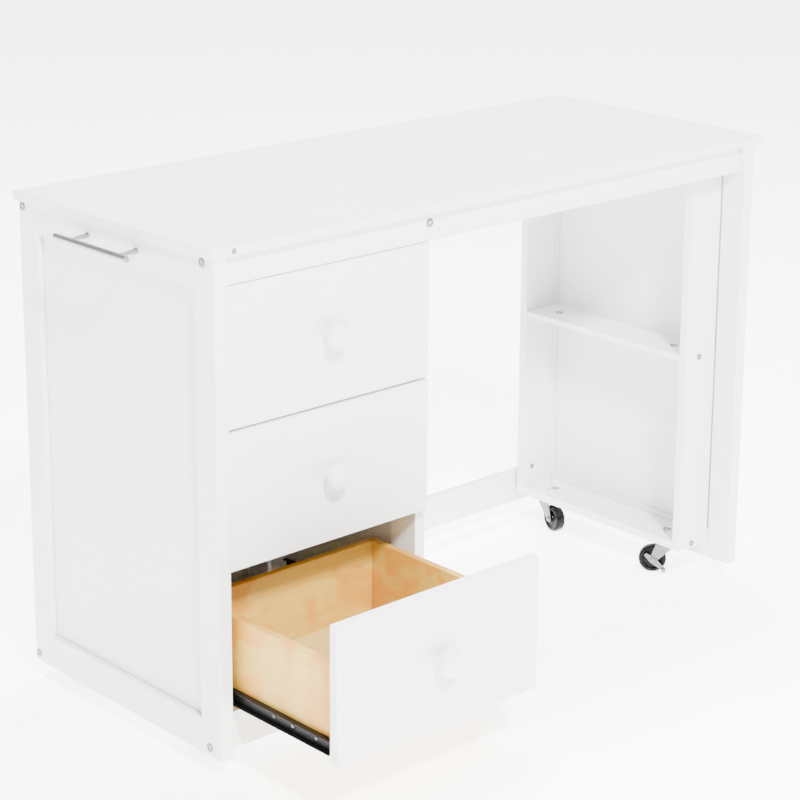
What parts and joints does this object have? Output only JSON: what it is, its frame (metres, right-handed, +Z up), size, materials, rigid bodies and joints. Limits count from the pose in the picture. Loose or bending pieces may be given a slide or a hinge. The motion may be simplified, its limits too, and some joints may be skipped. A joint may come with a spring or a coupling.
{
  "type": "pedestal desk",
  "caption": "White desk with a drawer pedestal, an open shelf unit beside the knee space, a bar pull on one end and swivel casters underneath.",
  "frame": {"origin": "middle of the model's bounding box in plan, on the floor under the wheels, with the lowest drawer open as stored", "axes": "+X along the desk from the handled end to the shelf unit, +Y from the drawer fronts to the back, +Z up"},
  "size_m": [1.1852, 0.7222, 0.774],
  "materials": {
    "white_paint": "satin white paint on board",
    "pine": "clear lacquered solid pine",
    "plywood": "thin unfinished plywood",
    "slide_steel": "black coated cold rolled steel",
    "stainless": "brushed bar stock",
    "caster_steel": "bright zinc plate",
    "caster_rubber": "moulded black tyre"
  },
  "bodies": {
    "frame": {"tabletop": "white_paint", "left_front_stile": "white_paint", "left_rear_stile": "white_paint", "left_top_rail": "white_paint", "left_bottom_rail": "white_paint", "left_panel": "white_paint", "right_front_stile": "white_paint", "right_rear_stile": "white_paint", "right_top_rail": "white_paint", "right_bottom_rail": "white_paint", "right_panel": "white_paint", "front_apron": "white_paint", "rear_top_rail": "white_paint", "rear_low_rail": "white_paint", "pedestal_front_stile": "white_paint", "pedestal_rear_stile": "white_paint", "pedestal_side_panel": "white_paint", "pedestal_front_rail": "white_paint", "pedestal_back": "plywood", "pedestal_base": "white_paint", "shelf_front_board": "white_paint", "shelf_rear_board": "white_paint", "middle_shelf": "white_paint", "shelf_base": "white_paint", "pull_handle": "stainless", "drawer_1_left_outer_slide": "slide_steel", "drawer_1_right_outer_slide": "slide_steel", "drawer_2_left_outer_slide": "slide_steel", "drawer_2_right_outer_slide": "slide_steel", "drawer_3_left_outer_slide": "slide_steel", "drawer_3_right_outer_slide": "slide_steel"},
    "drawer_1": {"drawer_1_front": "white_paint", "drawer_1_box": "pine", "drawer_1_bottom": "plywood", "drawer_1_knob": "white_paint", "drawer_1_left_inner_slide": "slide_steel", "drawer_1_right_inner_slide": "slide_steel"},
    "drawer_2": {"drawer_2_front": "white_paint", "drawer_2_box": "pine", "drawer_2_bottom": "plywood", "drawer_2_knob": "white_paint", "drawer_2_left_inner_slide": "slide_steel", "drawer_2_right_inner_slide": "slide_steel"},
    "drawer_3": {"drawer_3_front": "white_paint", "drawer_3_box": "pine", "drawer_3_bottom": "plywood", "drawer_3_knob": "white_paint", "drawer_3_left_inner_slide": "slide_steel", "drawer_3_right_inner_slide": "slide_steel"},
    "left_front_caster": {"left_front_caster_fork": "caster_steel"},
    "left_front_wheel": {"left_front_caster_wheel": "caster_rubber"},
    "left_front_brake": {"left_front_caster_brake": "caster_steel"},
    "left_rear_caster": {"left_rear_caster_fork": "caster_steel"},
    "left_rear_wheel": {"left_rear_caster_wheel": "caster_rubber"},
    "right_front_caster": {"right_front_caster_fork": "caster_steel"},
    "right_front_wheel": {"right_front_caster_wheel": "caster_rubber"},
    "right_front_brake": {"right_front_caster_brake": "caster_steel"},
    "right_rear_caster": {"right_rear_caster_fork": "caster_steel"},
    "right_rear_wheel": {"right_rear_caster_wheel": "caster_rubber"}
  },
  "joints": [
    {"name": "drawer_1_slide", "type": "slide", "parent": "frame", "child": "drawer_1", "axis": [0, -1, 0], "range_m": [0, 0.25]},
    {"name": "drawer_2_slide", "type": "slide", "parent": "frame", "child": "drawer_2", "axis": [0, -1, 0], "range_m": [0, 0.25]},
    {"name": "drawer_3_slide", "type": "slide", "parent": "frame", "child": "drawer_3", "axis": [0, -1, 0], "range_m": [-0.233, 0.017]},
    {"name": "left_front_swivel", "type": "hinge", "parent": "frame", "child": "left_front_caster", "pos_m": [-0.48335, -0.00785, 0.045], "axis": [0, 0, 1], "continuous": true},
    {"name": "left_front_roll", "type": "hinge", "parent": "left_front_caster", "child": "left_front_wheel", "pos_m": [-0.50214, -0.01469, 0.024], "axis": [0.342, -0.9397, 0], "continuous": true},
    {"name": "left_front_brake_rock", "type": "hinge", "parent": "left_front_caster", "child": "left_front_brake", "pos_m": [-0.50214, -0.01469, 0.024], "axis": [0.342, -0.9397, 0], "range_deg": [0, 14]},
    {"name": "left_rear_swivel", "type": "hinge", "parent": "frame", "child": "left_rear_caster", "pos_m": [-0.48335, 0.27115, 0.045], "axis": [0, 0, 1], "continuous": true},
    {"name": "left_rear_roll", "type": "hinge", "parent": "left_rear_caster", "child": "left_rear_wheel", "pos_m": [-0.50267, 0.27633, 0.024], "axis": [-0.2588, -0.9659, 0], "continuous": true},
    {"name": "right_front_swivel", "type": "hinge", "parent": "frame", "child": "right_front_caster", "pos_m": [0.50065, -0.00785, 0.045], "axis": [0, 0, 1], "continuous": true},
    {"name": "right_front_roll", "type": "hinge", "parent": "right_front_caster", "child": "right_front_wheel", "pos_m": [0.48701, 0.00678, 0.024], "axis": [-0.7314, -0.682, 0], "continuous": true},
    {"name": "right_front_brake_rock", "type": "hinge", "parent": "right_front_caster", "child": "right_front_brake", "pos_m": [0.48701, 0.00678, 0.024], "axis": [-0.7314, -0.682, 0], "range_deg": [0, 14]},
    {"name": "right_rear_swivel", "type": "hinge", "parent": "frame", "child": "right_rear_caster", "pos_m": [0.50065, 0.27115, 0.045], "axis": [0, 0, 1], "continuous": true},
    {"name": "right_rear_roll", "type": "hinge", "parent": "right_rear_caster", "child": "right_rear_wheel", "pos_m": [0.49649, 0.25159, 0.024], "axis": [0.9781, -0.2079, 0], "continuous": true}
  ]
}
